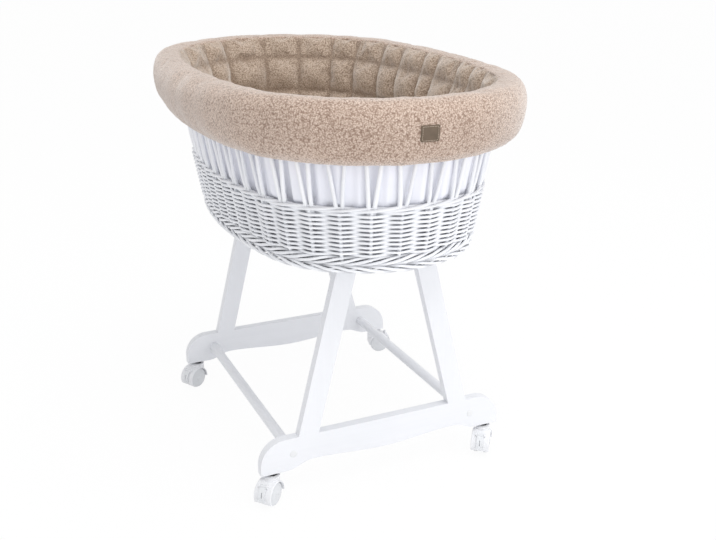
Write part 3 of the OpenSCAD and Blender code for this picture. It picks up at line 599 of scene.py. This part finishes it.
# Bumper: a thick roll of wadding under teddy fleece, sewn round the rim. It is fullest below
# the crest, and its hem is drawn in over the rods.
def teddy_fleece(name, deep, mid, high):
    """Curled pile in knots, painted darker between them as shade in the pile and lighter on top, and darker
    along the seams, where the pile is pressed flat and painted shade lies in the sewn hollows.
    """
    fleece, tree, shader = new_finish(name, {
        "Roughness": 0.95, "Sheen Weight": 1.0, "Sheen Roughness": 0.45,
        "Sheen Tint": tone(255, 250, 246), "Specular IOR Level": 0.2})
    place = tree.node("ShaderNodeTexCoord", out="Object")
    swirl = tree.node("ShaderNodeTexNoise", {"Vector": place, "Scale": 210.0, "Detail": 2.0}, out="Color")
    swirl = tree.node("ShaderNodeVectorMath", {0: swirl, 1: (0.5, 0.5, 0.5)}, operation="SUBTRACT")
    swirl = tree.node("ShaderNodeVectorMath", {0: swirl, "Scale": 0.005}, operation="SCALE")
    spot = tree.node("ShaderNodeVectorMath", {0: place, 1: swirl})
    # Painted shade in the pile: the colour is darkest between the knots and lightest on their tops.
    knot = 1.0 - tree.node("ShaderNodeTexVoronoi", {"Vector": spot, "Scale": 370.0, "Smoothness": 0.3},
                           feature="SMOOTH_F1")
    fuzz = tree.node("ShaderNodeTexNoise", {"Vector": spot, "Scale": 1100.0, "Detail": 3.0})
    patch = tree.node("ShaderNodeTexNoise", {"Vector": place, "Scale": 11.0, "Detail": 2.0})
    # Painted shade along the quilting: the seam value darkens the pile where it is pressed flat and sinks
    # into the sewn hollows.
    seam = tree.node("ShaderNodeAttribute", out="Fac", attribute_name="seam")
    level = knot * 0.75 + fuzz * 0.35 + patch * 0.12 - seam * 0.2
    stops = ((0.38, tone(*deep)), (0.98, tone(*high)), (0.68, tone(*mid)))
    tree.node("ShaderNodeValToRGB", {"Fac": level}, stops=stops).to(shader, "Base Color")
    tree.node("ShaderNodeBump", {"Strength": 0.7, "Distance": 0.0016,
                                 "Height": knot * 0.8 + fuzz * 0.3}).to(shader, "Normal")
    return fleece


def through(corners, steps):
    """A closed smooth line through corners, with as many points between each two."""
    b = np.asarray(corners, float)[:, None]
    a, c, d = (np.roll(b, shift, 0) for shift in (1, -1, -2))
    t = np.linspace(0, 1, steps, endpoint=False)[None, :, None]
    square, cube = 2 * a - 5 * b + 4 * c - d, 3 * b - a - 3 * c + d
    line = 0.5 * (2 * b + (c - a) * t + square * t ** 2 + cube * t ** 3)
    return line.reshape(-1, 2)


def filled(mesh, sewn, pressure, slack, cap, frames=20):
    """Blows a padded mesh up between the points where it is sewn, no further than the cap."""
    mesh.update()
    pad = bpy.data.objects.new("filling", mesh)
    bpy.context.scene.collection.objects.link(pad)
    pad.vertex_groups.new(name="sewn").add([int(i) for i in sewn], 1.0, "REPLACE")
    cloth = pad.modifiers.new("cloth", "CLOTH")
    cloth.settings.quality = 4
    cloth.settings.mass = 0.25
    cloth.settings.tension_stiffness = cloth.settings.compression_stiffness = 12
    cloth.settings.shear_stiffness = 6
    cloth.settings.bending_stiffness = 0.8
    cloth.settings.use_pressure = True
    cloth.settings.uniform_pressure_force = pressure
    cloth.settings.shrink_min = -slack
    cloth.settings.vertex_group_mass = "sewn"
    cloth.settings.effector_weights.gravity = 0
    cloth.collision_settings.use_collision = False
    cloth.point_cache.frame_start, cloth.point_cache.frame_end = 1, frames
    for step in range(1, frames + 1):
        bpy.context.scene.frame_set(step)
    blown = pad.evaluated_get(bpy.context.evaluated_depsgraph_get()).data
    rest, moved = np.empty(len(mesh.vertices) * 3), np.empty(len(mesh.vertices) * 3)
    mesh.vertices.foreach_get("co", rest)
    blown.vertices.foreach_get("co", moved)
    shift = (moved - rest).reshape(-1, 3)
    far = np.linalg.norm(shift, axis=1, keepdims=True)
    shift *= np.minimum(1, cap / np.maximum(far, 1e-9))
    bpy.data.objects.remove(pad)
    bpy.context.scene.frame_set(1)
    mesh.vertices.foreach_set("co", rest + shift.ravel())
    mesh.update()


def finer(piece):
    """Gives an object one subdivision."""
    smooth = piece.modifiers.new("finer", "SUBSURF")
    smooth.levels = smooth.render_levels = 1


def napped(mesh, depth):
    """The mesh with one subdivision, raised in small knots like the fleece's pile."""
    rough = bpy.data.objects.new("rough", mesh)
    bpy.context.scene.collection.objects.link(rough)
    finer(rough)
    fine = plain_mesh(rough)
    count = len(fine.vertices)
    spots, normals = np.empty(count * 3), np.empty(count * 3)
    fine.vertices.foreach_get("co", spots)
    fine.vertex_normals.foreach_get("vector", normals)
    spots, normals = spots.reshape(-1, 3), normals.reshape(-1, 3)
    raised = np.array([noise.noise(Vector(p) * 190) + 0.6 * noise.noise(Vector(p) * 70) for p in spots])
    fine.vertices.foreach_set("co", (spots + normals * (depth * raised)[:, None]).ravel())
    fine.update()
    return fine


# The quilted pad is sewn to the bumper's lip at the same places as its own upright seams.
SQUARES, PER_SQUARE = 28, 10
random = np.random.default_rng(31)
seams = (np.arange(SQUARES + 1) + np.append(random.uniform(-0.16, 0.16, SQUARES), 0)) / SQUARES
seams[-1] = seams[0] + 1
steps = np.arange(SQUARES * PER_SQUARE) / PER_SQUARE
sewn_u, sewn_part = np.interp(steps, np.arange(SQUARES + 1), seams), steps % 1

# Offset from the foot's oval and height over the rim: hem, belly, crest, lip and the rim's bed.
PROFILE = [(0.0370, -0.0767), (0.0480, -0.0822), (0.0640, -0.0792), (0.0780, -0.0577),
           (0.0846, -0.0207), (0.0800, 0.0053), (0.0665, 0.0198), (0.0520, 0.0230), (0.0400, 0.0208),
           (0.0340, 0.0153), (0.0410, 0.0093), (0.0535, 0.0083), (0.0540, -0.0107), (0.0430, -0.0557)]
CROWN, NAP = 0.023, 0.0006
fleece = teddy_fleece("teddy fleece", (143, 119, 104), (192, 170, 155), (232, 215, 202))
outline = through(PROFILE, 4)
d, up = outline[:, 0], outline[:, 1]
outer = np.clip((d - 0.045) / 0.03, 0, 1) * np.clip((up + 0.0827) / 0.02, 0, 1)
full = outer * (waves(sewn_u, 21, 3, 9, 0.0014) + waves(sewn_u, 22, 10, 26, 0.0004))[:, None]
hem = np.clip((-0.0507 - up) / 0.03, 0, 1) * waves(sewn_u, 23, 8, 40, 0.0003)[:, None]
drawn = np.clip((0.060 - d) / 0.012, 0, 1) * np.clip((up - 0.008) / 0.008, 0, 1)
dip = drawn * 0.0026 * (1 - np.sin(np.pi * sewn_part) ** 0.55)[:, None]
mesh = ring_mesh("bumper", at(sewn_u[:, None], d + full, rim_z + up + hem - dip))
tight = ((d < 0.0545) & (up < 0.0188)) | (up < -0.0737)
filled(mesh, np.flatnonzero(np.tile(tight, len(sewn_u))), pressure=1.6, slack=0.004, cap=0.005)
bumper = put("bumper_roll", napped(mesh, NAP), fleece, "basket", "boucle", "bumper", sharp=180)


# Quilted pad: the same fleece over wadding, sewn through in squares. It hangs inside the wall
# from the crest of the bumper to the base board.
FIRST_SEAM, QUILT_PITCH, PUFF = 0.049, 0.070, 0.0165
PAD_HANG, PAD_BACK, BACK_LEVELS = 0.0275, 0.0235, 9
# Steps in each row of squares, from the crest down. The pad's edges cut the first and the last
# row, and these stay a little fuller towards their lower seam.
ROW_STEPS, FULLER = (9, PER_SQUARE, PER_SQUARE, PER_SQUARE, 7), 0.999
crest = rim_z + CROWN
first_seam = crest - FIRST_SEAM
heights = [crest - 0.005] + [first_seam - QUILT_PITCH * k for k in range(4)] + [board_top + 0.0012]
z, across, sewn_row = [], [], []
for top, bottom, count in zip(heights, heights[1:], ROW_STEPS):
    share = np.arange(count) / count
    z += list(top + (bottom - top) * share)
    across += list(share * (1 if count == PER_SQUARE else FULLER))
    sewn_row += [k == 0 for k in range(count)]
z, across, sewn_row = np.array(z + [heights[-1]]), np.array(across + [0.0]), np.array(sewn_row + [True])
hang = wall(z) - PAD_HANG
over = np.clip((z - first_seam) / (heights[0] - first_seam), 0, 1)
face = hang + (wall(rim_z) - ROD_DEPTH - 0.005 - hang) * over
puff = (np.sin(np.pi * across) ** 0.55)[None] * (np.sin(np.pi * sewn_part) ** 0.55)[:, None]
inner = at(sewn_u[:, None], face - (PUFF - 0.005 * (over > 0)) * puff, z + 0.004 * puff * (over > 0))
back_z = np.linspace(heights[-1], crest - 0.014, BACK_LEVELS)
back = at(sewn_u[:, None], (wall(back_z) - PAD_BACK)[None], back_z[None])
grid = np.concatenate([inner, back], 1)
mesh = ring_mesh("pad", grid)
# Darker along the seams as the puff sinks, and fully on the hidden back: pile pressed flat, with painted
# shade in the hollows.
pressed_and_shaded = (1 - puff) * (z < heights[0] - 0.008)
pressed_and_shaded = np.concatenate([pressed_and_shaded, np.ones((len(sewn_u), BACK_LEVELS))], 1) ** 4
seam = mesh.attributes.new("seam", "FLOAT", "POINT")
seam.data.foreach_set("value", pressed_and_shaded.ravel().astype(np.float32))
width = grid.shape[1]
column, level = np.divmod(np.arange(grid.shape[0] * width), width)
tight = np.append(sewn_row, np.ones(BACK_LEVELS, bool))[level]
filled(mesh, np.flatnonzero(tight | (column % PER_SQUARE == 0)), pressure=3.0, slack=0.06, cap=0.010)
# The pad's fleece is a darker copy of the bumper's, its tones lowered as painted shade for the inside of the
# basket.
shaded_fleece = teddy_fleece("quilted fleece in painted shade", (138, 119, 103), (185, 166, 149), (225, 209, 194))
pad = put("quilted_wall", napped(mesh, NAP), shaded_fleece, "basket", "boucle", "quilted_pad", sharp=180)


# Mattress: a foam pad in a pale woven cover, crowned on top, with a piped seam round its upper
# and lower edge. It lies loose on the base board.
cover, tree, shader = new_finish("mattress cover", {"Roughness": 0.88, "Sheen Weight": 0.2})
place = tree.node("ShaderNodeTexCoord", out="Object")
cloud = tree.node("ShaderNodeTexNoise", {"Vector": place, "Scale": 16.0, "Detail": 3.0})
warp = tree.node("ShaderNodeTexWave", {"Vector": place, "Scale": 330.0, "Distortion": 1.0},
                 bands_direction="X")
weft = tree.node("ShaderNodeTexWave", {"Vector": place, "Scale": 330.0, "Distortion": 1.0},
                 bands_direction="Y")
knit = warp * 0.5 + weft * 0.5
tree.mix(cloud * 0.7 + knit * 0.3, tone(229, 225, 216), tone(245, 242, 235)).to(shader, "Base Color")
tree.node("ShaderNodeBump", {"Strength": 0.3, "Distance": 0.0005, "Height": knit}).to(shader, "Normal")

MATTRESS_T, INNERMOST, AROUND = 0.038, 0.160, 160
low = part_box("mattress")[0].z
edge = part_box("mattress")[1].y - END_Y - END_R
u = np.arange(AROUND) / AROUND
uneven = waves(u, 41, 5, 12, 0.0007)
# Inset from the edge and height over the base board, from the underside round to the crown.
levels = [(0.020, 0.0), (0.006, 0.0004), (0.001, 0.004), (0.0035, 0.010), (0.0042, MATTRESS_T / 2),
          (0.0035, MATTRESS_T - 0.010), (0.001, MATTRESS_T - 0.004), (0.006, MATTRESS_T + 0.0006),
          (0.020, MATTRESS_T + 0.0020), (0.045, MATTRESS_T + 0.0040), (0.085, MATTRESS_T + 0.0062),
          (0.125, MATTRESS_T + 0.0074), (INNERMOST, MATTRESS_T + 0.0080)]
sections = []
for inset, up in levels:
    ring = at(u, edge - inset + uneven, low + up)
    ring[:, 2] += waves(u, 42, 3, 8, 0.0006) * min(1, up / MATTRESS_T) * (1 - inset / INNERMOST)
    sections.append(ring)
mesh = ring_mesh("mattress", np.array(sections).transpose(1, 0, 2), closed=False)
shape = bmesh.new()
shape.from_mesh(mesh)
corners = list(shape.verts)
half_way = AROUND // 2
for level in (0, len(levels) - 1):
    loop = [corners[i * len(levels) + level] for i in range(AROUND)]
    for i in range(-half_way // 2, half_way // 2):
        strip = [loop[i], loop[i + 1], loop[half_way - i - 1], loop[(half_way - i) % AROUND]]
        shape.faces.new(list(dict.fromkeys(strip)))
bmesh.ops.recalc_face_normals(shape, faces=shape.faces)
shape.to_mesh(mesh)
shape.free()
mattress = put("mattress_pad", mesh, cover, "basket", "mattress_cover", "mattress", sharp=180)
finer(mattress)

PIPING_UP, PIPING_R = 0.0045, 0.0022
for name, up in (("mattress_piping_low", PIPING_UP), ("mattress_piping_high", MATTRESS_T - PIPING_UP)):
    ring = at(u, edge + 0.0004 + uneven, low + up)
    path = path_of(name, ring[None], True, along=u[None], rod=np.full((1, AROUND), 200.0))
    mesh = grown(path, rod_tree, Thickness=PIPING_R, Taper=0.0, Wobble=0.0, Finish=cover)
    put(name, mesh, cover, "basket", "mattress_cover", sharp=180)


# Label: a bare square of taupe faux leather with rounded corners, sewn to the foot end of the
# bumper with pale thread close to its edge.
hide, tree, shader = new_finish("taupe faux leather", {"Specular IOR Level": 0.35})
place = tree.node("ShaderNodeTexCoord", out="Object")
crease = tree.node("ShaderNodeTexVoronoi", {"Vector": place, "Scale": 900.0}, feature="DISTANCE_TO_EDGE")
cloud = tree.node("ShaderNodeTexNoise", {"Vector": place, "Scale": 90.0, "Detail": 3.0})
tree.mix(cloud, tone(88, 75, 62), tone(116, 100, 84)).to(shader, "Base Color")
(cloud * 0.2 + 0.5).to(shader, "Roughness")
tree.node("ShaderNodeBump", {"Strength": 0.4, "Distance": 0.0004, "Height": crease}).to(shader, "Normal")
thread, tree, shader = new_finish("pale thread", {"Roughness": 0.8})
place = tree.node("ShaderNodeTexCoord", out="Object")
twist = tree.node("ShaderNodeTexNoise", {"Vector": place, "Scale": 2600.0})
tree.mix(twist, tone(168, 152, 134), tone(206, 190, 172)).to(shader, "Base Color")

LABEL_HALF, LABEL_CORNER, LABEL_POINTS = 0.0130, 0.0022, 64
GIRTH, OUTSIDE, SPREAD = 2.25, 0.13, 0.003
label_u, label_z = 0.7437, rim_z - 0.0275
skin = BVHTree.FromObject(bumper, bpy.context.evaluated_depsgraph_get())


def on_bumper(a, b, lift):
    """The point over the bumper's skin at a to the side and b up from the label's middle."""
    u = label_u + a / GIRTH
    turn = float(turn_at(u))
    inward = Vector((-math.cos(turn), -math.sin(turn), 0))
    start = Vector(at(u, OUTSIDE, label_z + b).tolist())
    found = [skin.ray_cast(start + Vector((0, 0, dz)), inward)[0] for dz in (-SPREAD, 0, SPREAD)]
    return sum(found, Vector()) / 3 - inward * lift


def label_edge(inset, count):
    """Points round a square with rounded corners."""
    side, points = LABEL_HALF - inset - LABEL_CORNER, []
    for k in range(count):
        a = 2 * math.pi * (k + 0.5) / count
        x, y = math.cos(a), math.sin(a)
        scale = (side + LABEL_CORNER) / max(abs(x), abs(y))
        p = Vector((x * scale, y * scale))
        inner = Vector((max(-side, min(side, p.x)), max(-side, min(side, p.y))))
        off = p - inner
        round_off = off.normalized() * min(off.length, LABEL_CORNER)
        points.append(inner + round_off if off.length > 1e-9 else p)
    return points


shape = bmesh.new()
loops = [[shape.verts.new(on_bumper(p.x * s, p.y * s, lift)) for p in label_edge(0, LABEL_POINTS)]
         for s, lift in ((1.0, -0.0006), (1.0, 0.0012), (0.975, 0.0017), (0.8, 0.0017), (0.55, 0.0017),
                         (0.28, 0.0017))]
hub = shape.verts.new(on_bumper(0, 0, 0.0017))
for k in range(LABEL_POINTS):
    n = (k + 1) % LABEL_POINTS
    for one, two in zip(loops, loops[1:]):
        shape.faces.new((one[k], one[n], two[n], two[k]))
    shape.faces.new((loops[-1][k], loops[-1][n], hub))
bmesh.ops.recalc_face_normals(shape, faces=shape.faces)
mesh = bpy.data.meshes.new("label")
shape.to_mesh(mesh)
shape.free()
put("bare_label", mesh, hide, "basket", "boucle")

stitch_tree, size = new_tree("stitches along an edge", Count="Int", Length="Float", Thickness="Float",
                             Finish="Material")
path = size["Path"]
curve = path.node("GeometryNodeMeshToCurve", {"Mesh": path})
spots = path.node("GeometryNodeCurveToPoints", {"Curve": curve, "Count": size["Count"]}, mode="COUNT")
facing = Wire(stitch_tree, spots.socket.node.outputs["Tangent"])
aim = path.node("FunctionNodeAlignRotationToVector", {"Vector": facing}, axis="X")
bead = path.node("GeometryNodeMeshIcoSphere", {"Radius": 1.0, "Subdivisions": 2})
half_thick = size["Thickness"] * 0.5
half_sizes = path.node("ShaderNodeCombineXYZ", {"X": size["Length"] * 0.5, "Y": half_thick, "Z": half_thick})
beads = path.node("GeometryNodeInstanceOnPoints", {"Points": spots, "Instance": bead, "Rotation": aim,
                                                   "Scale": half_sizes})
end_tree(beads, size["Finish"])
STITCH_LIFT, STITCH_INSET = 0.0018, 0.0022
ring = np.array([list(on_bumper(p.x, p.y, STITCH_LIFT)) for p in label_edge(STITCH_INSET, 96)])
path = path_of("stitch line", ring[None], True)
mesh = grown(path, stitch_tree, Count=34, Length=0.0023, Thickness=0.0008, Finish=thread)
put("label_stitches", mesh, thread, "basket", "boucle", sharp=180)


# Studio: a white floor under even light from all round, with a wide lamp overhead and a weaker
# fill lamp in front, and the photograph's camera.
def seen(tree):
    """1 where a ray from the camera, or by way of gloss or glass, meets it, and 0 for its light."""
    rays = tree.node("ShaderNodeLightPath", out="Is Camera Ray")
    glossy = Wire(tree.tree, rays.socket.node.outputs["Is Glossy Ray"])
    clear = Wire(tree.tree, rays.socket.node.outputs["Is Transmission Ray"])
    return tree.maths("MINIMUM", rays + glossy + clear, 1.0)


def lamp(name, place, target, size, power):
    """A square lamp at a place, aimed at a target."""
    light = bpy.data.lights.new(name, "AREA")
    light.shape, light.size, light.energy = "SQUARE", size, power
    thing = bpy.data.objects.new(name, light)
    thing.location = place
    thing.rotation_euler = (Vector(target) - Vector(place)).to_track_quat("-Z", "Y").to_euler()
    bpy.context.scene.collection.objects.link(thing)


white, tree, shader = new_finish("white floor", {"Roughness": 0.9, "Specular IOR Level": 0.1})
place = tree.node("ShaderNodeTexCoord", out="Object")
cloud = tree.node("ShaderNodeTexNoise", {"Vector": place, "Scale": 0.6})
tree.mix(cloud, tone(246, 246, 247), tone(250, 250, 251)).to(shader, "Base Color")
glow = tree.node("ShaderNodeEmission", {"Color": (1, 1, 1, 1), "Strength": 1.0})
surface = tree.node("ShaderNodeMixShader", {0: seen(tree) * 0.95, 1: Wire(tree.tree, shader.outputs[0]),
                                            2: glow})
surface.to(white.node_tree.nodes["Material Output"], "Surface")
FLOOR = 30
mesh = bpy.data.meshes.new("floor")
mesh.from_pydata([(-FLOOR, -FLOOR, 0), (FLOOR, -FLOOR, 0), (FLOOR, FLOOR, 0), (-FLOOR, FLOOR, 0)], [],
                 [(0, 1, 2, 3)])
mesh.materials.append(white)
floor = bpy.data.objects.new("floor", mesh)
bpy.context.scene.collection.objects.link(floor)

ALL_ROUND = 0.79
world = bpy.data.worlds.new("studio")
world.use_nodes = True
bpy.context.scene.world = world
background = world.node_tree.nodes["Background"]
background.inputs["Color"].default_value = (1, 1, 1, 1)
(seen(Wire(world.node_tree)) * (1 - ALL_ROUND) + ALL_ROUND).to(background, "Strength")
lamp("wide lamp", (0.4, -1.0, 3.2), (0, 0, 0.5), size=2.2, power=46)
lamp("fill lamp", (0.5, -2.7, 0.9), (0, 0, 0.6), size=1.6, power=14)

lens = bpy.data.cameras.new("camera")
lens.sensor_fit, lens.sensor_width, lens.lens = "HORIZONTAL", 36.0, 45.64
camera = bpy.data.objects.new("camera", lens)
yaw, pitch, roll = math.radians(24.33), math.radians(19.43), math.radians(0.14)
camera.location = (-0.677, -1.648, 0.960)
camera.rotation_euler = Euler((math.pi / 2 - pitch, roll, -yaw), "XYZ")
bpy.context.scene.collection.objects.link(camera)
bpy.context.scene.camera = camera
bpy.context.scene.view_settings.view_transform = "Standard"
